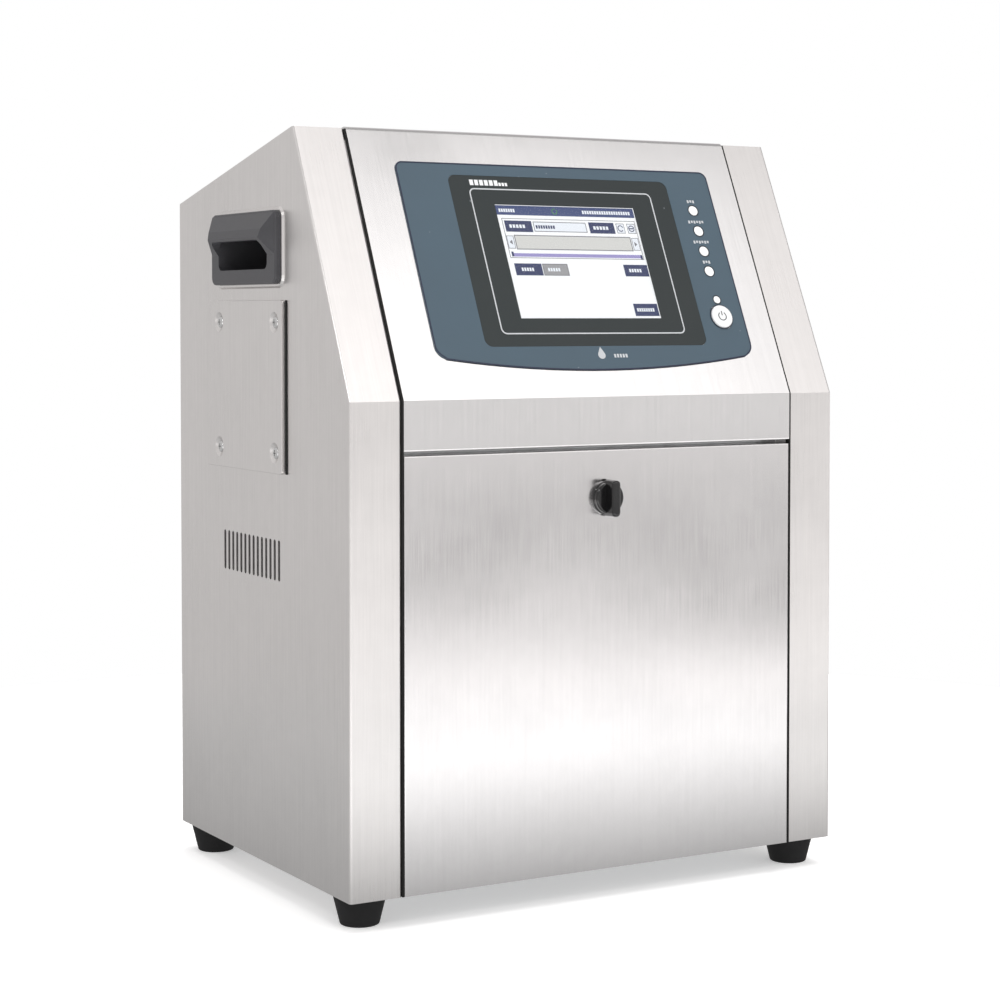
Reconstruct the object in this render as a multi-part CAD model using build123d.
from build123d import *
import os
from math import cos, hypot, radians, sin

# A floor-standing date code inkjet printer cabinet. Millimetres, +Z up, -Y is the front with the
# door and the sloped console. The origin is on the floor, under the middle of the cabinet.

# ---------------------------------------------------------------- driving dimensions
WIDTH = 400.0  # cabinet, side to side
DEPTH = 293.0  # cabinet, front face to rear face
FRONT_HEIGHT = 333.6  # upright front, up to the bend into the sloped console
PEAK_HEIGHT = 521.5  # the highest edge, at the top of the console
PEAK_DEPTH = 87.5  # how far behind the front face the highest edge lies
BACK_HEIGHT = 476.2  # the roof falls to this height at the back
FOOT_HEIGHT = 20.5
PILLAR_WIDTH = 38.5  # front corner pillar of each side shell
SHEET = 1.5  # stainless sheet of the outer panels
PANEL_GAP = 1.5  # seam between a pillar and the door or console
PROUD = 1.5  # door and console stand this far in front of the pillars
RETURN_DEPTH = 17.0  # depth of the pillar's inner return flange
FASCIA_BOTTOM = 299.4  # above the cabinet's underside
DOOR_TOP = 297.0
REACH = 16.0  # knob in front and conduit gland behind stand out by this much

# ---------------------------------------------------------------- the cabinet's planes
X_SIDE = WIDTH / 2
X_PILLAR = X_SIDE - PILLAR_WIDTH
X_PANEL = X_PILLAR - PANEL_GAP  # half width of the door and of the console
X_INSIDE = X_SIDE - SHEET - 0.2
Y_FRONT = -DEPTH / 2
Y_BACK = DEPTH / 2
Y_FACE = Y_FRONT - PROUD
Z_FLOOR = FOOT_HEIGHT
Z_BEND = Z_FLOOR + FRONT_HEIGHT
Y_PEAK = Y_FRONT + PEAK_DEPTH
Z_PEAK = Z_FLOOR + PEAK_HEIGHT
Z_BACK = Z_FLOOR + BACK_HEIGHT
SLOPE_LENGTH = hypot(PEAK_DEPTH, PEAK_HEIGHT - FRONT_HEIGHT)
SLOPE_COS = (PEAK_HEIGHT - FRONT_HEIGHT) / SLOPE_LENGTH
SLOPE_SIN = PEAK_DEPTH / SLOPE_LENGTH
ROOF_FALL = (Z_PEAK - Z_BACK) / (Y_BACK - Y_PEAK)

Y_RETURN = Y_FRONT + RETURN_DEPTH  # rear edge of the pillar returns, where the door frame seats
Z_FLANGE = Z_FLOOR + SHEET  # top of the side shells' bottom flanges
Z_PAN = Z_FLANGE + SHEET  # top of the base pan
Z_FASCIA = Z_FLOOR + FASCIA_BOTTOM
Z_DOOR_TOP = Z_FLOOR + DOOR_TOP
Z_SHELF = Z_FASCIA - 0.4  # underside of the inner shelf
Y_BULKHEAD = 60.0
X_BULKHEAD = 180.0
THIN = 1.2  # sheet of the inner panels

# Sloped console: local x across, local y up the slope from the bend, local z out of the face.
CONSOLE = Plane(origin=(0, Y_FRONT, Z_BEND), x_dir=(1, 0, 0), z_dir=(0, -SLOPE_COS, SLOPE_SIN))
SCREEN_X = 4.5
SCREEN_S = 104.8
SCREEN_W = 117.9
SCREEN_H = 89.6
SHEET_CUT = 3.0  # the sheet's window is this much larger than the display
BEZEL_CENTRE = (4.8, 105.2)
BEZEL_SIZE = (185.6, 133.6)
OVERLAY_X = 4.3  # middle of the overlay
OVERLAY_HALF = 132.4
OVERLAY_TOP = 181.6
OVERLAY_CORNER = 30.8  # where its sides end and the bowed lower edge starts
OVERLAY_BOW = 20.2  # lowest point of the bowed edge
OVERLAY_THICK = 0.8
KEY_X = 116.6  # column of lamps and the power button
LAMP_S = (148.5, 131.4, 114.7, 98.2)
LAMP_RADIUS = 3.9
POWER_LAMP_S = 74.9
POWER_LAMP_RADIUS = 2.9
LAMP_PLAY = 0.2
BUTTON_S = 61.0
BUTTON_RADIUS = 8.9
BUTTON_TRAVEL = 1.5
BOARD_DEPTH = 18.4  # the console board's face lies this far behind the pillar slope
DISPLAY_DEPTH = 12.0  # back of the display module
DISPLAY_POSTS = (67.25, 48.0)  # the board's posts, from the display's middle

# Door and its hinge
HINGE_Y = Y_FRONT + 3.0
HINGE_Z = Z_PAN + THIN / 2
KNUCKLE_RADIUS = 2.5
HINGE_PIN_RADIUS = 1.0
HINGE_LENGTH = 300.0
KNUCKLES = 15
DOOR_DEPTH = 15.5
Y_DOOR_BACK = Y_FACE + DOOR_DEPTH
LATCH_Z = Z_FLOOR + 263.0
BARREL_RADIUS = 9.0
SPINDLE_RADIUS = 4.0
FRAME_OPENING_X = 146.0
FRAME_OPENING_TOP = 300.5
FRAME_OPENING_BOTTOM = 43.5
GASKET_Z = (35.5, 313.5)
GASKET_WIDTH = 6.0
GASKET_X = 154.0

# Pocket handles, vents and the cover plate on the sides
HANDLE_Y = (-42.9, 70.5)
HANDLE_Z = (433.5, 485.0)
HANDLE_OPENING_Y = (-29.0, 57.0)
HANDLE_OPENING_Z = (444.0, 464.5)
HANDLE_PROUD = 6.0
HANDLE_LIP = 14.0  # the hood's lip stands this far out of the side
HOOD_TAPER = 10.0  # the hood's ends slant in by this much up to its lip
HANDLE_CUP_DEPTH = 36.0
HANDLE_WALL = 3.0
PLATE_Y = (-47.3, 85.8)
PLATE_Z = (300.5, 422.0)
PLATE_THICK = 3.5
PLATE_SCREWS_Y = (-35.0, 62.5)
PLATE_SCREWS_Z = (315.0, 406.5)
SERVICE_Y = (-12.0, 46.0)  # opening behind the cover plate
SERVICE_Z = (325.0, 395.5)
DIMPLE_RADIUS = 7.4  # countersunk dimple around each plate screw
DIMPLE_DEPTH = 2.6
VENT_Y = (-36.7, 62.5)
VENT_Z = (224.5, 253.5)
VENT_SLOTS = 14
VENT_SLOT_WIDTH = 3.7

# Feet
FOOT_X = 180.5
FOOT_ROWS = (-121.5, 127.0)
FOOT_TOP_RADIUS = 18.5
FOOT_BOTTOM_RADIUS = 13.4
FOOT_HOLE = 2.9

# Rear face
REAR_SCREW_X = 191.0
REAR_SCREW_Z = (50.0, 190.0, 330.0, 470.0)
FAN_X = 95.0
FAN_Z = 430.0
FAN_SIZE = 80.0
FAN_THICK = 25.0
CONDUIT_X = -105.0
CONDUIT_Z = 430.0
CONDUIT_BORE = 11.0
MAINS_X = 130.0
MAINS_Z = 80.0
MAINS_BORE = 4.0
SWITCH_X = 85.0
SWITCH_Z = 80.0
SWITCH_TILT = 9.0  # the rocker leans this far to either side
SOCKET_X = (-140.0, -105.0, -70.0)
SOCKET_Z = 80.0

# Ink system
TRAY_LOW = Z_PAN
TANK_BOTTOM = TRAY_LOW + 1.5
INK_TANK = ((-142, -112), (-44, 10), 150.0)  # low corner, high corner, height of the body
SOLVENT_TANK = ((-36, -112), (46, 10), 128.0)
HOSE_RADIUS = 4.0
PUMP_X = 100.0
PUMP_Y = 18.0
FILTER_X = 152.0
FILTER_Y = 30.0
VALVE_LOW = 232.0
VALVE_PORTS = (-93.0, 5.0, 30.0, 56.0)
VALVE_PORT_Y = Y_BULKHEAD - 14


# ---------------------------------------------------------------- helpers
def box_between(low, high):
    """A box from its lowest to its highest corner."""
    size = [b - a for a, b in zip(low, high)]
    centre = [(a + b) / 2 for a, b in zip(low, high)]
    return Pos(*centre) * Box(*size)


def rod(start, direction, radius, length):
    """A cylinder that starts at a point and runs along a direction."""
    seat = Plane(origin=start, z_dir=direction)
    return seat * Cylinder(radius, length, align=(Align.CENTER, Align.CENTER, Align.MIN))


def hexagon(start, direction, across_flats, length):
    """A six-sided nut or gland body, by its distance across flats."""
    seat = Plane(origin=start, z_dir=direction)
    return extrude(seat * RegularPolygon(across_flats / 2, 6, major_radius=False), amount=length)


def prism_x(face, x_from, x_to):
    """A (y, z) face extruded along X."""
    return extrude(Plane.YZ.offset(x_from) * face, amount=x_to - x_from, dir=(1, 0, 0))


def prism_y(face, y_from, y_to):
    """An (x, z) face extruded along Y."""
    seat = Plane(origin=(0, y_from, 0), x_dir=(1, 0, 0), z_dir=(0, -1, 0))
    return extrude(seat * face, amount=y_to - y_from, dir=(0, 1, 0))


def console_prism(face, low, high):
    """A face drawn on the sloped console, extruded from height low to height high."""
    return extrude(CONSOLE.offset(low) * face, amount=high - low)


def round_edges(solid, radius, test):
    """Fillet the edges whose middle point passes a test."""
    chosen = [edge for edge in solid.edges() if test(edge @ 0.5)]
    return fillet(chosen, radius)


def near(a, b):
    return abs(a - b) < 0.01


def roof_z(y):
    """Height of the roof's outer face."""
    return Z_PEAK - (y - Y_PEAK) * ROOF_FALL


def mirrored(solid):
    """The same piece on the other side of the cabinet."""
    return mirror(solid, about=Plane.YZ)


def rounded_rectangle(y_span, z_span, radius):
    """A rounded rectangle given by its two spans."""
    centre = Pos((y_span[0] + y_span[1]) / 2, (z_span[0] + z_span[1]) / 2)
    return centre * RectangleRounded(y_span[1] - y_span[0], z_span[1] - z_span[0], radius)


def cross_recess(radius, depth, centre, direction):
    """The cross-shaped pocket of a screw head, cut down from its top."""
    seat = Plane(origin=centre, z_dir=direction)
    cross = Rectangle(2 * radius, 0.4 * radius) + Rectangle(0.4 * radius, 2 * radius)
    return extrude(seat * cross, amount=-depth)


def pan_screw(seat, outward, shank_radius, shank_length, head_radius, head_height):
    """A pan-head machine screw; seat is where the underside of its head rests."""
    inward = [-c for c in outward]
    head = rod(seat, outward, head_radius, head_height)
    top = [s + c * head_height for s, c in zip(seat, outward)]
    head = round_edges(head, head_height * 0.7, lambda p: near((p - Vector(*top)).dot(Vector(*outward)), 0))
    head -= cross_recess(head_radius * 0.5, head_height * 0.6, top, outward)
    return head + rod(seat, inward, shank_radius, shank_length)


def profile_face(growth=0.0):
    """The cabinet's (y, z) side outline, grown outward by a distance."""
    outline = Polyline(
        (Y_FRONT, Z_FLOOR),
        (Y_FRONT, Z_BEND),
        (Y_PEAK, Z_PEAK),
        (Y_BACK, Z_BACK),
        (Y_BACK, Z_FLOOR),
        close=True,
    )
    face = make_face(outline)
    if growth:
        face = offset(face, growth, kind=Kind.INTERSECTION)
    return face


def front_band(depth, outer=0.0, z_low=Z_FLOOR, y_high=Y_PEAK):
    """The (y, z) band along the upright front and the slope, depth deep from the outline."""
    band = profile_face(outer) - profile_face(-depth)
    window = Polyline(
        (Y_FRONT - 20, z_low),
        (Y_FRONT - 20, Z_PEAK + 40),
        (y_high, Z_PEAK + 40),
        (y_high, roof_z(y_high) - depth - 4),
        (Y_PEAK - 4, Z_PEAK - depth - 8),
        (Y_FRONT + depth, Z_BEND),
        (Y_FRONT + depth, z_low),
        close=True,
    )
    return band & make_face(window)


# ---------------------------------------------------------------- cabinet
def side_shell(has_cover_plate):
    """Left side panel with its front pillar, return flange and fixing flanges in one folded sheet."""
    x_out = -X_SIDE
    x_in = x_out + SHEET
    block = prism_x(profile_face(), x_out, -X_PILLAR)
    block = round_edges(block, 2.2, lambda p: near(p.X, x_out) and on_front(p))
    block = round_edges(block, 1.2, lambda p: near(p.X, -X_PILLAR) and on_front(p))
    shell = block & box_between((x_out, -DEPTH, 0), (x_in, DEPTH, 2 * PEAK_HEIGHT))
    shell += block & prism_x(front_band(SHEET), x_out, -X_PILLAR)
    shell += prism_x(front_band(RETURN_DEPTH) - front_band(SHEET / 2), -X_PILLAR - SHEET, -X_PILLAR)
    flange = 14.5
    shell += box_between((x_in, Y_FRONT + SHEET, Z_FLOOR), (-X_PILLAR - SHEET, Y_BACK - SHEET, Z_FLANGE))
    shell += box_between(
        (x_in, Y_BACK - 2 * SHEET, Z_FLANGE), (x_in + flange, Y_BACK - SHEET, Z_BACK - 2 * SHEET)
    )
    roof_flange = make_face(
        Polyline(
            (Y_PEAK + 24, roof_z(Y_PEAK + 24) - 2 * SHEET * 1.03),
            (Y_PEAK + 24, roof_z(Y_PEAK + 24) - SHEET * 1.03),
            (Y_BACK - SHEET, roof_z(Y_BACK - SHEET) - SHEET * 1.03),
            (Y_BACK - SHEET, roof_z(Y_BACK - SHEET) - 2 * SHEET * 1.03),
            close=True,
        )
    )
    shell += prism_x(roof_flange, x_in, x_in + flange)
    handle_cut = rounded_rectangle(
        (HANDLE_OPENING_Y[0] - 3.4, HANDLE_OPENING_Y[1] + 3.4), (HANDLE_Z[0] + 5, HANDLE_Z[1] - 5), 4
    )
    shell -= prism_x(handle_cut, x_out - 1, x_in + 1)
    shell -= vent_slots(x_out)
    for y in FOOT_ROWS:
        shell -= rod((-FOOT_X, y, Z_FLOOR - 1), (0, 0, 1), FOOT_HOLE, SHEET + 2)
    for z in REAR_SCREW_Z:
        shell -= rod((-REAR_SCREW_X, Y_BACK - 4, z), (0, 1, 0), 2.2, 5)
    if has_cover_plate:
        shell -= prism_x(rounded_rectangle(SERVICE_Y, SERVICE_Z, 5), x_out - 1, x_in + 1)
        for y in PLATE_SCREWS_Y:
            for z in PLATE_SCREWS_Z:
                shell -= rod((x_out - 1, y, z), (1, 0, 0), 2.2, SHEET + 2)
    return shell


def on_front(point):
    """Whether a point lies on the pillars' upright or sloped outer face."""
    slope = near((point.Y - Y_FRONT) * SLOPE_COS, (point.Z - Z_BEND) * SLOPE_SIN)
    return slope and point.Z > Z_BEND + 1 and point.Z < Z_PEAK - 1 or near(point.Y, Y_FRONT)


def vent_slots(x_out):
    """The row of upright ventilation slots cut through one side."""
    pitch = (VENT_Y[1] - VENT_Y[0] - VENT_SLOT_WIDTH) / (VENT_SLOTS - 1)
    height = VENT_Z[1] - VENT_Z[0]
    row = Part()
    for i in range(VENT_SLOTS):
        y = VENT_Y[0] + VENT_SLOT_WIDTH / 2 + i * pitch
        slot = Pos(y, (VENT_Z[0] + VENT_Z[1]) / 2) * SlotOverall(height, VENT_SLOT_WIDTH, rotation=90)
        row += prism_x(slot, x_out - 1, x_out + SHEET + 1)
    return row


def base_pan():
    """Floor of the cabinet, resting on the side shells' bottom flanges."""
    y_front = HINGE_Y + 5.6
    pan = box_between((-X_INSIDE, y_front, Z_FLANGE), (X_INSIDE, Y_BACK - 3.4, Z_PAN))
    pan -= box_between((-X_SIDE, Y_FRONT, Z_FLOOR), (-X_PILLAR - SHEET + 2, Y_RETURN + 0.3, Z_PAN + 1))
    pan -= box_between((X_PILLAR + SHEET - 2, Y_FRONT, Z_FLOOR), (X_SIDE, Y_RETURN + 0.3, Z_PAN + 1))
    lip = Y_BACK - 3.4
    pan += box_between((-X_INSIDE, lip - SHEET, Z_PAN), (X_INSIDE, lip, Z_PAN + 12))
    for x in (-FOOT_X, FOOT_X):
        for y in FOOT_ROWS:
            pan -= rod((x, y, Z_FLOOR), (0, 0, 1), FOOT_HOLE, 5)
    return pan


def roof_panel():
    """Roof sheet between the side shells, lying on their roof flanges."""
    y_low = Y_PEAK + 1.9
    drop = SHEET * 1.03
    section = make_face(
        Polyline(
            (y_low, roof_z(y_low)),
            (Y_BACK, roof_z(Y_BACK)),
            (Y_BACK, roof_z(Y_BACK) - drop),
            (y_low, roof_z(y_low) - drop),
            close=True,
        )
    )
    roof = prism_x(section, -X_INSIDE, X_INSIDE)
    for side in (-1, 1):
        slot = box_between(
            (X_PILLAR - 0.3, Y_PEAK - 5, Z_PEAK - 30), (X_PILLAR + SHEET + 0.3, Y_PEAK + 20, Z_PEAK + 5)
        )
        roof -= slot if side > 0 else mirrored(slot)
    return roof


def rear_panel():
    """Screwed rear sheet with the cut-outs for everything that it carries."""
    panel = box_between((-X_INSIDE, Y_BACK - SHEET, Z_FLOOR + 0.5), (X_INSIDE, Y_BACK, Z_BACK - 2.2))
    for x in (-REAR_SCREW_X, REAR_SCREW_X):
        for z in REAR_SCREW_Z:
            panel -= rod((x, Y_BACK - 3, z), (0, 1, 0), 2.2, 5)
    panel -= rod((FAN_X, Y_BACK - 3, FAN_Z), (0, 1, 0), 38.0, 5)
    panel -= rod((CONDUIT_X, Y_BACK - 3, CONDUIT_Z), (0, 1, 0), CONDUIT_BORE + 3.3, 5)
    panel -= rod((MAINS_X, Y_BACK - 3, MAINS_Z), (0, 1, 0), MAINS_BORE + 3.3, 5)
    for x in SOCKET_X:
        panel -= rod((x, Y_BACK - 3, SOCKET_Z), (0, 1, 0), 8.2, 5)
    switch_cut = Pos(SWITCH_X, SWITCH_Z) * Rectangle(19.6, 27.6)
    panel -= prism_y(switch_cut, Y_BACK - 3, Y_BACK + 2)
    return panel


def inner_shelf():
    """Shelf between the ink compartment below and the electronics above."""
    shelf = box_between((-X_INSIDE, Y_RETURN + 0.3, Z_SHELF), (X_INSIDE, Y_BACK - 3.4, Z_SHELF + THIN))
    cable_slot = Pos(120, 100) * SlotOverall(60, 26)
    shelf -= extrude(Plane.XY.offset(Z_SHELF - 1) * cable_slot, amount=4)
    return shelf


def door_frame():
    """Flat frame behind the door that its gasket seals against."""
    z_low = Z_PAN + THIN + 0.2
    frame = box_between((-176, Y_RETURN, z_low), (176, Y_RETURN + SHEET, Z_SHELF))
    opening = box_between(
        (-FRAME_OPENING_X, Y_RETURN - 1, FRAME_OPENING_BOTTOM),
        (FRAME_OPENING_X, Y_RETURN + SHEET + 1, FRAME_OPENING_TOP),
    )
    opening = round_edges(
        opening, 8, lambda p: near(abs(p.X), FRAME_OPENING_X) and near(p.Y, Y_RETURN + SHEET / 2)
    )
    return frame - opening


def bulkhead():
    """Upright inner wall that carries the pump, filter and valves."""
    wall = box_between((-X_BULKHEAD, Y_BULKHEAD, Z_PAN), (X_BULKHEAD, Y_BULKHEAD + THIN, Z_SHELF))
    return wall


def foot(x, y):
    """Conical rubber foot with a recess for its screw."""
    cone = Pos(x, y, 0) * Cone(
        FOOT_BOTTOM_RADIUS, FOOT_TOP_RADIUS, FOOT_HEIGHT, align=(Align.CENTER, Align.CENTER, Align.MIN)
    )
    cone = round_edges(cone, 1.5, lambda p: near(p.Z, 0))
    cone -= rod((x, y, -1), (0, 0, 1), 6.0, 9)
    cone -= rod((x, y, 0), (0, 0, 1), 2.8, FOOT_HEIGHT + 1)
    return cone


def foot_screws():
    """Screw and nut of each foot."""
    group = []
    for x in (-FOOT_X, FOOT_X):
        for y in FOOT_ROWS:
            screw = pan_screw((x, y, 8), (0, 0, -1), 2.5, 24, 5.2, 3.6)
            nut = hexagon((x, y, Z_PAN), (0, 0, 1), 8, 4) - rod((x, y, Z_PAN - 1), (0, 0, 1), 2.55, 6)
            group += [screw, nut]
    return Compound(children=group)


# ---------------------------------------------------------------- console
def console_panel():
    """Sloped console, its fascia and roof lip, folded from one sheet with side returns."""
    lip_end = Y_PEAK + 20
    sheet = prism_x(front_band(0, PROUD, Z_FASCIA, lip_end), -X_PANEL, X_PANEL)
    sheet += box_between((-X_PANEL, Y_FACE, Z_FASCIA), (X_PANEL, Y_RETURN - 1.5, Z_FASCIA + SHEET))
    side_return = front_band(11, PROUD, Z_FASCIA, Y_PEAK - 2)
    sheet += prism_x(side_return, -X_PANEL, -X_PANEL + SHEET)
    sheet += prism_x(side_return, X_PANEL - SHEET, X_PANEL)
    sheet = round_edges(sheet, 1.3, lambda p: near(p.X, 0) and p.Y < Y_FACE + 0.4 and p.Z > Z_FASCIA - 1)
    sheet = round_edges(sheet, 4.0, lambda p: near(p.X, 0) and p.Z > Z_PEAK + 0.8)
    window = Pos(SCREEN_X, SCREEN_S) * RectangleRounded(SCREEN_W + SHEET_CUT, SCREEN_H + SHEET_CUT, 2)
    sheet -= console_prism(window, -5, 5)
    for s in LAMP_S:
        sheet -= console_prism(Pos(KEY_X, s) * Circle(LAMP_RADIUS + LAMP_PLAY), -5, 5)
    sheet -= console_prism(Pos(KEY_X, POWER_LAMP_S) * Circle(POWER_LAMP_RADIUS + LAMP_PLAY), -5, 5)
    sheet -= console_prism(Pos(KEY_X, BUTTON_S) * Circle(BUTTON_RADIUS + 0.3), -5, 5)
    return sheet


def overlay_outline():
    """Outline of the console overlay: square top, lower edge bowed downward."""
    left = OVERLAY_X - OVERLAY_HALF
    right = OVERLAY_X + OVERLAY_HALF
    outline = (
        Line((left, OVERLAY_CORNER), (left, OVERLAY_TOP))
        + Line((left, OVERLAY_TOP), (right, OVERLAY_TOP))
        + Line((right, OVERLAY_TOP), (right, OVERLAY_CORNER))
        + ThreePointArc((right, OVERLAY_CORNER), (OVERLAY_X, OVERLAY_BOW), (left, OVERLAY_CORNER))
    )
    face = make_face(outline)
    upper = [v for v in face.vertices() if v.Y > 100]
    face = fillet(upper, 6)
    lower = [v for v in face.vertices() if v.Y < 40]
    return fillet(lower, 10)


def bezel_outline(clearance=0.0):
    """Outline of the dark screen surround."""
    width, height = BEZEL_SIZE
    return Pos(*BEZEL_CENTRE) * RectangleRounded(width + clearance, height + clearance, 6)


def control_overlay():
    """Film of the console, cut out for the screen surround, lamps and button."""
    face = overlay_outline() - bezel_outline(0.2)
    for s in LAMP_S:
        face -= Pos(KEY_X, s) * Circle(LAMP_RADIUS + LAMP_PLAY)
    face -= Pos(KEY_X, POWER_LAMP_S) * Circle(POWER_LAMP_RADIUS + LAMP_PLAY)
    face -= Pos(KEY_X, BUTTON_S) * Circle(BUTTON_RADIUS + 1.1)
    return console_prism(face, PROUD, PROUD + OVERLAY_THICK)


def screen_bezel():
    """Dark surround of the touch screen."""
    face = bezel_outline() - Pos(SCREEN_X, SCREEN_S) * Rectangle(SCREEN_W, SCREEN_H)
    return console_prism(face, PROUD, PROUD + OVERLAY_THICK - 0.1)


def touch_glass():
    """Clear touch panel in the screen's window."""
    face = Pos(SCREEN_X, SCREEN_S) * Rectangle(SCREEN_W - 0.3, SCREEN_H - 0.3)
    return console_prism(face, 0.9, PROUD + 0.5)


def lcd_module():
    """Display module with its raised active area behind the glass."""
    frame = Pos(SCREEN_X, SCREEN_S) * RectangleRounded(144, 104.6, 2)
    active = Pos(SCREEN_X, SCREEN_S) * Rectangle(SCREEN_W + 1, SCREEN_H + 1)
    return console_prism(frame, -DISPLAY_DEPTH, -0.2) + console_prism(active, -1, 0.6)


def lamp(s, radius):
    """Light pipe from the console board to its lens in the overlay."""
    pipe = console_prism(Pos(KEY_X, s) * Circle(radius), -BOARD_DEPTH, PROUD + OVERLAY_THICK + 0.2)
    return round_edges(pipe, 0.3, lambda p: console_height(p) > PROUD + OVERLAY_THICK)


def indicator_lamps():
    """The four status lamps and the power lamp."""
    lamps = [lamp(s, LAMP_RADIUS) for s in LAMP_S]
    return Compound(children=[*lamps, lamp(POWER_LAMP_S, POWER_LAMP_RADIUS)])


def console_height(point):
    """How far a point stands out of the pillars' slope."""
    return CONSOLE.to_local_coords(point).Z


def power_button_ring():
    """Thin ring around the power button."""
    face = Pos(KEY_X, BUTTON_S) * (Circle(BUTTON_RADIUS + 0.9) - Circle(BUTTON_RADIUS + 0.25))
    return console_prism(face, PROUD, PROUD + OVERLAY_THICK + 0.35)


def power_button():
    """Round push button with a slightly dished cap and a stem."""
    seat = Pos(KEY_X, BUTTON_S)
    cap = console_prism(seat * Circle(BUTTON_RADIUS), -3.5, PROUD + 2.2)
    cap = round_edges(cap, 0.8, lambda p: console_height(p) > PROUD + 2)
    return cap + console_prism(seat * Circle(3), -7, -3.5)


def power_switch():
    """Switch body that the power button's stem presses."""
    seat = Pos(KEY_X, BUTTON_S)
    body = console_prism(seat * Rectangle(12, 12), -BOARD_DEPTH, -11)
    return body + console_prism(seat * Circle(3), -11, -7 - BUTTON_TRAVEL - 0.2)


def control_board():
    """Circuit board behind the display, on four posts from the display's back."""
    board = console_prism(Pos(25, SCREEN_S) * Rectangle(206, 112), -BOARD_DEPTH - 1.6, -BOARD_DEPTH)
    dx, ds = DISPLAY_POSTS
    for x in (SCREEN_X - dx, SCREEN_X + dx):
        for s in (SCREEN_S - ds, SCREEN_S + ds):
            board += console_prism(Pos(x, s) * Circle(3), -BOARD_DEPTH, -DISPLAY_DEPTH)
    board += console_prism(Pos(-30, SCREEN_S) * Rectangle(28, 28), -BOARD_DEPTH - 4, -BOARD_DEPTH - 1.6)
    board += console_prism(Pos(40, 80) * Rectangle(40, 12), -BOARD_DEPTH - 9, -BOARD_DEPTH - 1.6)
    return board


# ---------------------------------------------------------------- door
def door_panel():
    """Outer door skin with side and top returns."""
    z_low = Z_FLOOR + 0.3
    skin = box_between((-X_PANEL, Y_FACE, z_low), (X_PANEL, Y_FACE + DOOR_DEPTH, Z_DOOR_TOP))
    skin -= box_between(
        (-X_PANEL + SHEET, Y_FACE + SHEET, z_low - 1), (X_PANEL - SHEET, Y_FACE + 30, Z_DOOR_TOP - SHEET)
    )
    swing = rod((-X_PANEL - 1, HINGE_Y, HINGE_Z), (1, 0, 0), 9, 2 * X_PANEL + 2)
    lower_back = box_between(
        (-X_PANEL - 1, Y_FACE + SHEET, z_low - 1), (X_PANEL + 1, Y_FACE + 30, HINGE_Z + 6)
    )
    skin -= swing & lower_back
    skin -= box_between((-X_PANEL - 1, Y_FACE + SHEET, z_low - 1), (X_PANEL + 1, 0, HINGE_Z + 5))
    skin = round_edges(skin, 1.3, lambda p: near(p.Y, Y_FACE) and p.Z > z_low + 1)
    skin -= rod((0, Y_FACE - 1, LATCH_Z), (0, 1, 0), BARREL_RADIUS + 0.3, 5)
    return skin


def door_inner_pan():
    """Inner door sheet that closes the skin's back."""
    x = X_PANEL - SHEET - 0.3
    z_low = HINGE_Z + 7
    z_high = Z_DOOR_TOP - SHEET - 0.3
    pan = box_between((-x, Y_DOOR_BACK - 11, z_low), (x, Y_DOOR_BACK, z_high))
    pan -= box_between(
        (-x + THIN, Y_DOOR_BACK - 12, z_low + THIN), (x - THIN, Y_DOOR_BACK - THIN, z_high - THIN)
    )
    pan = round_edges(pan, 1.0, lambda p: near(p.Y, Y_DOOR_BACK))
    pan -= rod((0, Y_DOOR_BACK - 5, LATCH_Z), (0, 1, 0), BARREL_RADIUS + 0.3, 8)
    return pan


def door_gasket():
    """Foam sealing frame on the back of the door."""
    x = GASKET_X - GASKET_WIDTH
    outer = rounded_rectangle((-GASKET_X, GASKET_X), GASKET_Z, 6)
    inner = rounded_rectangle((-x, x), (GASKET_Z[0] + GASKET_WIDTH, GASKET_Z[1] - GASKET_WIDTH), 3)
    return prism_y(outer - inner, Y_DOOR_BACK, Y_RETURN - 0.3)


def knuckle(index, bore):
    """One barrel of the door's piano hinge."""
    length = HINGE_LENGTH / KNUCKLES
    start = -HINGE_LENGTH / 2 + index * length + 0.15
    barrel = rod((start, HINGE_Y, HINGE_Z), (1, 0, 0), KNUCKLE_RADIUS, length - 0.3)
    return barrel, rod((start - 1, HINGE_Y, HINGE_Z), (1, 0, 0), bore, length + 2), start, length - 0.3


def hinge_fixed_leaf():
    """Hinge leaf on the base pan, with every other knuckle."""
    half = HINGE_LENGTH / 2
    y_start = HINGE_Y + KNUCKLE_RADIUS + 0.4
    leaf = box_between((-half, y_start, Z_PAN), (half, HINGE_Y + 16, Z_PAN + THIN))
    holes = Part()
    for i in range(0, KNUCKLES, 2):
        barrel, bore, start, length = knuckle(i, HINGE_PIN_RADIUS + 0.04)
        leaf += barrel
        leaf += box_between((start, HINGE_Y, Z_PAN), (start + length, y_start + 1, Z_PAN + THIN))
        holes += bore
    return leaf - holes


def hinge_moving_leaf():
    """Hinge leaf on the back of the door skin, with the knuckles between."""
    half = HINGE_LENGTH / 2
    y_skin = Y_FACE + SHEET
    z_start = HINGE_Z + KNUCKLE_RADIUS + 0.4
    leaf = box_between((-half, y_skin, z_start), (half, y_skin + THIN, HINGE_Z + 24))
    holes = Part()
    for i in range(1, KNUCKLES, 2):
        barrel, bore, start, length = knuckle(i, HINGE_PIN_RADIUS + 0.04)
        leaf += barrel
        leaf += box_between((start, y_skin, HINGE_Z), (start + length, y_skin + THIN, z_start + 1))
        holes += bore
    return leaf - holes


def hinge_pin():
    """Pin through all the knuckles."""
    half = HINGE_LENGTH / 2
    return rod((-half, HINGE_Y, HINGE_Z), (1, 0, 0), HINGE_PIN_RADIUS, HINGE_LENGTH)


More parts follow.
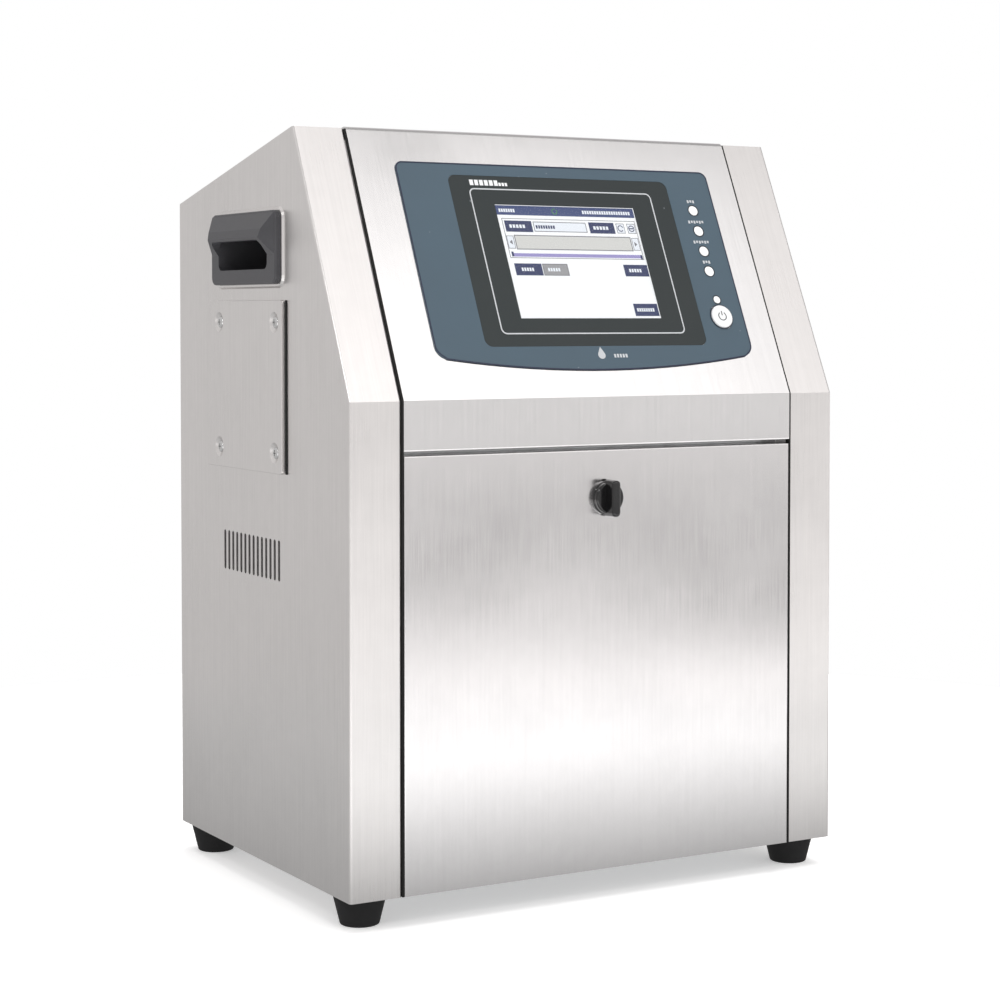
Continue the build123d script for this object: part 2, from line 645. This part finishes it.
def latch_base():
    """Latch housing: a round flange on the skin and a threaded barrel through the door."""
    body = rod((0, Y_FACE - 2.5, LATCH_Z), (0, 1, 0), 12.0, 2.5)
    body = round_edges(body, 1.2, lambda p: near(p.Y, Y_FACE - 2.5))
    body += rod((0, Y_FACE, LATCH_Z), (0, 1, 0), BARREL_RADIUS, DOOR_DEPTH + 4.6)
    return body - rod((0, Y_FACE - 3, LATCH_Z), (0, 1, 0), SPINDLE_RADIUS + 0.06, 40)


def latch_knob():
    """Wing knob: a low disc and a tall rounded wing across it."""
    y_disc = Y_FACE - 2.8
    disc = rod((0, y_disc, LATCH_Z), (0, -1, 0), 11.3, 3.2)
    disc = round_edges(disc, 1.4, lambda p: near(p.Y, y_disc - 3.2))
    wing_height = REACH - PROUD - 2.8
    outline = Pos(0, LATCH_Z) * RectangleRounded(7.4, 26.2, 3.2)
    seat = Plane(origin=(0, y_disc, 0), x_dir=(1, 0, 0), z_dir=(0, -1, 0))
    wing = extrude(seat * outline, amount=wing_height, taper=2.0)
    wing = round_edges(wing, 1.8, lambda p: near(p.Y, y_disc - wing_height))
    return disc + wing


def latch_spindle():
    """Shaft from the knob to the cam, headed behind the cam."""
    shaft = rod((0, Y_FACE - 2.8, LATCH_Z), (0, 1, 0), SPINDLE_RADIUS, DOOR_DEPTH + 10.9)
    return shaft + rod((0, Y_DOOR_BACK + 8.1, LATCH_Z), (0, 1, 0), 6.5, 2)


def latch_nut():
    """Nut that clamps the latch to the inner pan."""
    nut = hexagon((0, Y_DOOR_BACK, LATCH_Z), (0, 1, 0), 23, 3.4)
    return nut - rod((0, Y_DOOR_BACK - 1, LATCH_Z), (0, 1, 0), BARREL_RADIUS + 0.05, 8)


def latch_cam():
    """Flat cam that swings up behind the door frame's top rail."""
    y_cam = Y_DOOR_BACK + 5.4
    reach = 25.0
    outline = Pos(0, LATCH_Z) * Circle(9) + Pos(reach / 2, LATCH_Z) * Rectangle(reach, 13)
    plate = prism_y(outline, y_cam, y_cam + 2.5)
    return plate - rod((0, y_cam - 1, LATCH_Z), (0, 1, 0), SPINDLE_RADIUS + 0.02, 6)


# ---------------------------------------------------------------- sides
def handle_hood():
    """Scoop over the handle's opening: its lip stands out and its ends slant back to the face."""
    x_face = -X_SIDE - HANDLE_PROUD
    x_lip = -X_SIDE - HANDLE_LIP
    z_top = HANDLE_Z[1] - 1.5
    z_lip = HANDLE_OPENING_Z[1] + 1.5
    z_low = HANDLE_OPENING_Z[1] - 10
    section = make_face(
        Polyline(
            (x_face + 2, z_top),
            (x_face, z_top),
            (x_lip + 1.5, z_lip + 6),
            (x_lip, z_lip),
            (x_face, z_low),
            (x_face + 2, z_low),
            close=True,
        )
    )
    y_low, y_high = HANDLE_Y[0] + 2, HANDLE_Y[1] - 2
    run = Plane(origin=(0, y_low, 0), x_dir=(1, 0, 0), z_dir=(0, -1, 0))
    hood = extrude(run * section, amount=y_high - y_low, dir=(0, 1, 0))
    plan = make_face(
        Polyline(
            (x_face + 2, y_low),
            (x_face, y_low),
            (x_lip, y_low + HOOD_TAPER),
            (x_lip, y_high - HOOD_TAPER),
            (x_face, y_high),
            (x_face + 2, y_high),
            close=True,
        )
    )
    hood = hood & extrude(Plane.XY.offset(z_low) * plan, amount=z_top - z_low)
    return round_edges(hood, 1.2, lambda p: p.X < x_face - 1)


def pocket_handle():
    """Moulded pull handle of the left side: raised face, hood and a finger cup behind it."""
    x = -X_SIDE
    x_face = x - HANDLE_PROUD
    face = prism_x(rounded_rectangle(HANDLE_Y, HANDLE_Z, 6), x_face, x)
    face = round_edges(face, 1.4, lambda p: near(p.X, x_face))
    cup_y = (HANDLE_OPENING_Y[0] - HANDLE_WALL, HANDLE_OPENING_Y[1] + HANDLE_WALL)
    cup_top = HANDLE_Z[1] - 5.4
    cup_z = (HANDLE_OPENING_Z[0] - HANDLE_WALL, cup_top)
    cup = prism_x(rounded_rectangle(cup_y, cup_z, 4), x, x + HANDLE_CUP_DEPTH)
    hollow_z = (HANDLE_OPENING_Z[0], cup_top - HANDLE_WALL)
    hollow = prism_x(
        rounded_rectangle(HANDLE_OPENING_Y, hollow_z, 4), x_face + 1, x + HANDLE_CUP_DEPTH - HANDLE_WALL
    )
    mouth = prism_x(rounded_rectangle(HANDLE_OPENING_Y, HANDLE_OPENING_Z, 5), x - 20, x + 5)
    return face + handle_hood() + cup - hollow - mouth


def cover_plate():
    """Screwed plate over the service opening in the left side, with a dimple at each screw."""
    x_face = -X_SIDE - PLATE_THICK
    plate = prism_x(rounded_rectangle(PLATE_Y, PLATE_Z, 2), x_face, -X_SIDE)
    plate = round_edges(plate, 0.4, lambda p: near(p.X, x_face))
    for y in PLATE_SCREWS_Y:
        for z in PLATE_SCREWS_Z:
            seat = Plane(origin=(x_face, y, z), z_dir=(1, 0, 0))
            plate -= seat * Cone(
                DIMPLE_RADIUS, DIMPLE_RADIUS * 0.65, DIMPLE_DEPTH, align=(Align.CENTER, Align.CENTER, Align.MIN)
            )
            plate -= rod((x_face, y, z), (1, 0, 0), 2.2, PLATE_THICK + 1)
    return plate


def vent_filters():
    """Filter pads behind the slots of both sides."""
    x = -X_SIDE + SHEET
    pad = box_between((x, VENT_Y[0] - 6, VENT_Z[0] - 6), (x + 3, VENT_Y[1] + 6, VENT_Z[1] + 6))
    return Compound(children=[pad, mirrored(pad)])


# ---------------------------------------------------------------- rear
def panel_screws():
    """Pan-head screws of the cover plate and of the rear panel."""
    group = []
    for y in PLATE_SCREWS_Y:
        for z in PLATE_SCREWS_Z:
            seat = (-X_SIDE - PLATE_THICK + DIMPLE_DEPTH, y, z)
            group.append(pan_screw(seat, (-1, 0, 0), 2.0, 8, 4.3, 2.4))
    for x in (-REAR_SCREW_X, REAR_SCREW_X):
        for z in REAR_SCREW_Z:
            group.append(pan_screw((x, Y_BACK, z), (0, 1, 0), 2.0, 8, 5.0, 2.6))
    return Compound(children=group)


def fan_frame():
    """Square fan housing with its motor seat on three struts."""
    y_low = Y_BACK - SHEET - FAN_THICK
    y_high = Y_BACK - SHEET
    outline = Pos(FAN_X, FAN_Z) * RectangleRounded(FAN_SIZE, FAN_SIZE, 4)
    frame = prism_y(outline - Pos(FAN_X, FAN_Z) * Circle(38.5), y_low, y_high)
    hub = rod((FAN_X, y_low, FAN_Z), (0, 1, 0), 17, 3)
    frame += hub
    for angle in (90, 210, 330):
        strut = Pos(FAN_X, FAN_Z) * Rot(0, 0, angle) * Pos(28, 0) * Rectangle(24, 4)
        frame += prism_y(strut, y_low, y_low + 3)
    for dx in (-35.75, 35.75):
        for dz in (-35.75, 35.75):
            frame -= rod((FAN_X + dx, y_low - 1, FAN_Z + dz), (0, 1, 0), 2.1, FAN_THICK + 2)
    return frame - rod((FAN_X, y_low - 1, FAN_Z), (0, 1, 0), 1.55, 5)


def fan_rotor():
    """Seven-bladed impeller on its shaft."""
    y_low = Y_BACK - SHEET - FAN_THICK + 3.6
    length = FAN_THICK - 5.6
    rotor = rod((FAN_X, y_low, FAN_Z), (0, 1, 0), 16.5, length)
    seat = Plane(origin=(FAN_X, y_low + length / 2, FAN_Z), z_dir=(0, 1, 0))
    for i in range(7):
        blade = Rot(0, 0, i * 360 / 7) * Pos(26, 0, 0) * Rot(38, 0, 0) * Box(21.5, 18, 1.4)
        rotor += seat * blade
    return rotor + rod((FAN_X, y_low - 3.4, FAN_Z), (0, 1, 0), 1.5, 4)


def fan_guard():
    """Finger guard: flat rings on four spokes, with a raised screw pad at each corner."""
    bar = 1.8
    reach = hypot(35.75, 35.75)
    centre = Pos(FAN_X, FAN_Z)
    rings = Sketch()
    for radius in (8, 15, 22, 29, 36):
        rings += centre * (Circle(radius + bar / 2) - Circle(radius - bar / 2))
    for angle in (45, 135):
        rings += centre * Rot(0, 0, angle) * Rectangle(2 * reach, bar)
    guard = prism_y(rings, Y_BACK + 1.4, Y_BACK + 3.0)
    for x in (-35.75, 35.75):
        for z in (-35.75, 35.75):
            guard += rod((FAN_X + x, Y_BACK, FAN_Z + z), (0, 1, 0), 3.6, 3.0)
    return guard


def gland(x, z, bore, body_radius, flats, out, inside):
    """Cable gland: hexagonal body, domed nut outside, lock nut inside, bored through."""
    body = rod((x, Y_BACK - SHEET - inside, z), (0, 1, 0), body_radius, inside + SHEET + 1)
    body += hexagon((x, Y_BACK, z), (0, 1, 0), flats, out * 0.3)
    dome = rod((x, Y_BACK + out * 0.3, z), (0, 1, 0), flats * 0.47, out * 0.7)
    dome = round_edges(dome, out * 0.22, lambda p: near(p.Y, Y_BACK + out))
    body += dome
    body += hexagon((x, Y_BACK - SHEET, z), (0, -1, 0), flats, inside * 0.5)
    return body - rod((x, Y_BACK - 60, z), (0, 1, 0), bore, 120)


def mains_switch_body():
    """Housing of the rear rocker switch."""
    y_low = Y_BACK - SHEET - 22
    body = prism_y(Pos(SWITCH_X, SWITCH_Z) * Rectangle(19.2, 27.2), y_low, Y_BACK)
    body += prism_y(Pos(SWITCH_X, SWITCH_Z) * RectangleRounded(23, 31, 1.5), Y_BACK, Y_BACK + 2)
    return body - prism_y(Pos(SWITCH_X, SWITCH_Z) * Rectangle(13.4, 21.4), Y_BACK - 8, Y_BACK + 5)


def mains_switch_rocker():
    """Rocker that tips about a crosswise axis in its housing."""
    y_axis = Y_BACK - 1.0
    section = make_face(
        Polyline(
            (y_axis - 3.5, SWITCH_Z - 6),
            (y_axis - 3.5, SWITCH_Z + 6),
            (y_axis + 2.6, SWITCH_Z + 9.6),
            (y_axis + 4.0, SWITCH_Z + 9.2),
            (y_axis + 2.4, SWITCH_Z),
            (y_axis + 4.0, SWITCH_Z - 9.2),
            (y_axis + 2.6, SWITCH_Z - 9.6),
            close=True,
        )
    )
    rocker = prism_x(section, SWITCH_X - 6.3, SWITCH_X + 6.3)
    return rocker.rotate(Axis((SWITCH_X, y_axis, SWITCH_Z), (1, 0, 0)), SWITCH_TILT)


def signal_sockets():
    """Three capped round signal sockets."""
    group = []
    for x in SOCKET_X:
        socket = rod((x, Y_BACK - SHEET - 14, SOCKET_Z), (0, 1, 0), 8, 14 + SHEET)
        cap = rod((x, Y_BACK, SOCKET_Z), (0, 1, 0), 10.5, 9)
        cap = round_edges(cap, 1.2, lambda p: near(p.Y, Y_BACK + 9))
        group.append(socket + cap)
    return Compound(children=group)


# ---------------------------------------------------------------- ink system
def drip_tray():
    """Shallow tray under the tanks and the pump."""
    low = (-150, -118, TRAY_LOW)
    high = (172, Y_BULKHEAD - 1, TRAY_LOW + 16)
    tray = box_between(low, high)
    inner_low = [c + 1.5 for c in low]
    inner_high = (high[0] - 1.5, high[1] - 1.5, high[2] + 1)
    return tray - box_between(inner_low, inner_high)


def tank(corners):
    """Filled tank with a filler neck and a hose spigot on top."""
    (x0, y0), (x1, y1), height = corners
    top = TANK_BOTTOM + height
    body = box_between((x0, y0, TANK_BOTTOM), (x1, y1, top))
    body = round_edges(body, 9, lambda p: near(p.Z, TANK_BOTTOM + height / 2))
    body = round_edges(body, 4, lambda p: near(p.Z, top))
    x_mid = (x0 + x1) / 2
    body += rod((x_mid, y0 + 38, top - 1), (0, 0, 1), 17, 14)
    return body + rod((x_mid, y1 - 22, top - 1), (0, 0, 1), HOSE_RADIUS, 11)


def tank_cap(corners):
    """Quarter-turn cap with finger flutes over the filler neck."""
    (x0, y0), (x1, _), height = corners
    top = TANK_BOTTOM + height
    centre = ((x0 + x1) / 2, y0 + 38)
    cap = rod((*centre, top + 2), (0, 0, 1), 22, 20)
    cap = round_edges(cap, 2.5, lambda p: near(p.Z, top + 22))
    for i in range(12):
        angle = radians(i * 30)
        flute = (centre[0] + 23.5 * cos(angle), centre[1] + 23.5 * sin(angle), top)
        cap -= rod(flute, (0, 0, 1), 3, 17)
    return cap - rod((*centre, top), (0, 0, 1), 17.3, 14)


def pump_bracket():
    """Angle bracket that hangs the pump motor off the bulkhead."""
    plate = box_between((PUMP_X - 32, Y_BULKHEAD - 3, 110), (PUMP_X + 32, Y_BULKHEAD, 172))
    return plate + box_between((PUMP_X - 32, PUMP_Y - 30, 169), (PUMP_X + 32, Y_BULKHEAD, 172))


def pump_motor():
    """Closed motor can under the bracket."""
    can = rod((PUMP_X, PUMP_Y, 92), (0, 0, 1), 28, 77)
    can = round_edges(can, 2, lambda p: near(p.Z, 169))
    return can + box_between((PUMP_X - 12, PUMP_Y - 33, 120), (PUMP_X + 12, PUMP_Y - 20, 150))


def pump_head():
    """Gear pump head below the motor, with its two ports."""
    head = rod((PUMP_X, PUMP_Y, 54), (0, 0, 1), 25, 38)
    head = round_edges(head, 2, lambda p: near(p.Z, 54))
    head += rod((PUMP_X, PUMP_Y, 66), (-1, 0, 0), HOSE_RADIUS, 34)
    return head + rod((PUMP_X, PUMP_Y, 66), (0, -1, 0), HOSE_RADIUS, 34)


def main_filter():
    """Filter cartridge with capped ends, its clip and its two ports."""
    body = rod((FILTER_X, FILTER_Y, 70), (0, 0, 1), 20, 86)
    for z in (66, 156):
        cap = rod((FILTER_X, FILTER_Y, z), (0, 0, 1), 22.5, 12)
        body += round_edges(cap, 2, lambda p: True)
    body += box_between((FILTER_X - 9, FILTER_Y + 15, 105), (FILTER_X + 9, Y_BULKHEAD, 125))
    body += rod((FILTER_X, FILTER_Y, 58), (0, 0, 1), HOSE_RADIUS, 10)
    return body + rod((FILTER_X, FILTER_Y, 166), (0, 0, 1), HOSE_RADIUS, 10)


def valve_block():
    """Manifold on the bulkhead with five solenoid valves and four ports below."""
    block = box_between((-120, Y_BULKHEAD - 28, VALVE_LOW), (70, Y_BULKHEAD, VALVE_LOW + 42))
    block = round_edges(block, 1.5, lambda p: near(p.Y, Y_BULKHEAD - 28))
    for i in range(5):
        x = -101 + i * 38
        valve = rod((x, Y_BULKHEAD - 62, VALVE_LOW + 22), (0, 1, 0), 11, 35)
        valve = round_edges(valve, 1.5, lambda p: near(p.Y, Y_BULKHEAD - 62))
        block += valve
    for x in VALVE_PORTS:
        block += rod((x, VALVE_PORT_Y, VALVE_LOW - 8), (0, 0, 1), HOSE_RADIUS, 9)
    return block


def hose(points, radii):
    """A hose along straight runs joined by tangent arcs."""
    route = FilletPolyline(*points, radius=radii)
    section = Plane(origin=route @ 0, z_dir=route % 0) * Circle(HOSE_RADIUS)
    return sweep(section, path=route)


def tank_spigot(corners):
    """Top of a tank's hose spigot."""
    (x0, _), (x1, y1), height = corners
    return ((x0 + x1) / 2, y1 - 22, TANK_BOTTOM + height + 10)


def ink_hose():
    """From the ink tank up to the manifold."""
    x, y, z = tank_spigot(INK_TANK)
    port = VALVE_LOW - 8
    points = [(x, y, z), (x, y, z + 16), (x, VALVE_PORT_Y, port - 16), (x, VALVE_PORT_Y, port)]
    return hose(points, [12, 12])


def solvent_hose():
    """From the solvent tank up to the manifold."""
    x, y, z = tank_spigot(SOLVENT_TANK)
    port = VALVE_LOW - 8
    points = [(x, y, z), (x, y, z + 20), (x, VALVE_PORT_Y, port - 24), (x, VALVE_PORT_Y, port)]
    return hose(points, [16, 16])


def suction_hose():
    """From the manifold down to the pump head."""
    x = VALVE_PORTS[3]
    points = [
        (x, VALVE_PORT_Y, VALVE_LOW - 8),
        (x, VALVE_PORT_Y, 150),
        (x - 2, PUMP_Y, 110),
        (x - 2, PUMP_Y, 66),
        (PUMP_X - 34, PUMP_Y, 66),
    ]
    return hose(points, [25, 20, 5.5])


def pressure_hose():
    """From the pump head to the filter."""
    points = [
        (PUMP_X, PUMP_Y - 34, 66),
        (PUMP_X, PUMP_Y - 54, 66),
        (PUMP_X + 30, PUMP_Y - 68, 56),
        (FILTER_X, FILTER_Y - 50, 46),
        (FILTER_X, FILTER_Y, 46),
        (FILTER_X, FILTER_Y, 58),
    ]
    return hose(points, [12, 12, 20, 6])


# ---------------------------------------------------------------- electronics
def power_supply():
    """Enclosed power supply behind the bulkhead."""
    case = box_between((-90, 78, Z_PAN), (70, 128, Z_PAN + 100))
    case = round_edges(case, 1.5, lambda p: near(p.Z, Z_PAN + 100))
    for i in range(6):
        case += box_between((-70 + i * 22, 84, Z_PAN + 100), (-56 + i * 22, 96, Z_PAN + 106))
    return case


def main_board():
    """Main circuit board on posts above the shelf."""
    z = Z_SHELF + THIN
    board = box_between((-150, -60, z + 8), (40, 70, z + 9.6))
    for x in (-144, 34):
        for y in (-54, 64):
            board += rod((x, y, z), (0, 0, 1), 3, 8)
    for x, y, size in ((-100, 0, 34), (-40, 20, 22), (-10, -30, 18)):
        board += box_between((x, y, z + 9.6), (x + size, y + size, z + 12))
    for i in range(5):
        x = -140 + i * 34
        board += box_between((x, 56, z + 9.6), (x + 24, 66, z + 22))
    return board


# ---------------------------------------------------------------- all the pieces
def build_parts():
    left_shell = side_shell(has_cover_plate=True)
    handle = pocket_handle()
    parts = {
        "left_side_shell": left_shell,
        "right_side_shell": mirrored(side_shell(has_cover_plate=False)),
        "base_pan": base_pan(),
        "roof_panel": roof_panel(),
        "rear_panel": rear_panel(),
        "inner_shelf": inner_shelf(),
        "bulkhead": bulkhead(),
        "door_frame": door_frame(),
        "front_left_foot": foot(-FOOT_X, FOOT_ROWS[0]),
        "front_right_foot": foot(FOOT_X, FOOT_ROWS[0]),
        "rear_left_foot": foot(-FOOT_X, FOOT_ROWS[1]),
        "rear_right_foot": foot(FOOT_X, FOOT_ROWS[1]),
        "foot_screws": foot_screws(),
        "left_handle": handle,
        "right_handle": mirrored(handle),
        "cover_plate": cover_plate(),
        "vent_filters": vent_filters(),
        "console_panel": console_panel(),
        "control_overlay": control_overlay(),
        "screen_bezel": screen_bezel(),
        "touch_glass": touch_glass(),
        "lcd_module": lcd_module(),
        "indicator_lamps": indicator_lamps(),
        "power_button_ring": power_button_ring(),
        "power_button": power_button(),
        "power_switch": power_switch(),
        "control_board": control_board(),
        "door_panel": door_panel(),
        "door_inner_pan": door_inner_pan(),
        "door_gasket": door_gasket(),
        "hinge_fixed_leaf": hinge_fixed_leaf(),
        "hinge_moving_leaf": hinge_moving_leaf(),
        "hinge_pin": hinge_pin(),
        "latch_base": latch_base(),
        "latch_knob": latch_knob(),
        "latch_spindle": latch_spindle(),
        "latch_nut": latch_nut(),
        "latch_cam": latch_cam(),
        "panel_screws": panel_screws(),
        "fan_frame": fan_frame(),
        "fan_rotor": fan_rotor(),
        "fan_guard": fan_guard(),
        "conduit_gland": gland(CONDUIT_X, CONDUIT_Z, CONDUIT_BORE, CONDUIT_BORE + 3, 36, REACH, 16),
        "mains_gland": gland(MAINS_X, MAINS_Z, MAINS_BORE, MAINS_BORE + 3, 19, 15, 10),
        "mains_switch_body": mains_switch_body(),
        "mains_switch_rocker": mains_switch_rocker(),
        "signal_sockets": signal_sockets(),
        "drip_tray": drip_tray(),
        "ink_tank": tank(INK_TANK),
        "ink_cap": tank_cap(INK_TANK),
        "solvent_tank": tank(SOLVENT_TANK),
        "solvent_cap": tank_cap(SOLVENT_TANK),
        "pump_bracket": pump_bracket(),
        "pump_motor": pump_motor(),
        "pump_head": pump_head(),
        "main_filter": main_filter(),
        "valve_block": valve_block(),
        "ink_hoses": Compound(children=[ink_hose(), solvent_hose(), suction_hose(), pressure_hose()]),
        "power_supply": power_supply(),
        "main_board": main_board(),
    }
    return parts


if __name__ == "__main__":
    os.makedirs("parts", exist_ok=True)
    for name, solid in build_parts().items():
        export_step(solid, f"parts/{name}.step")
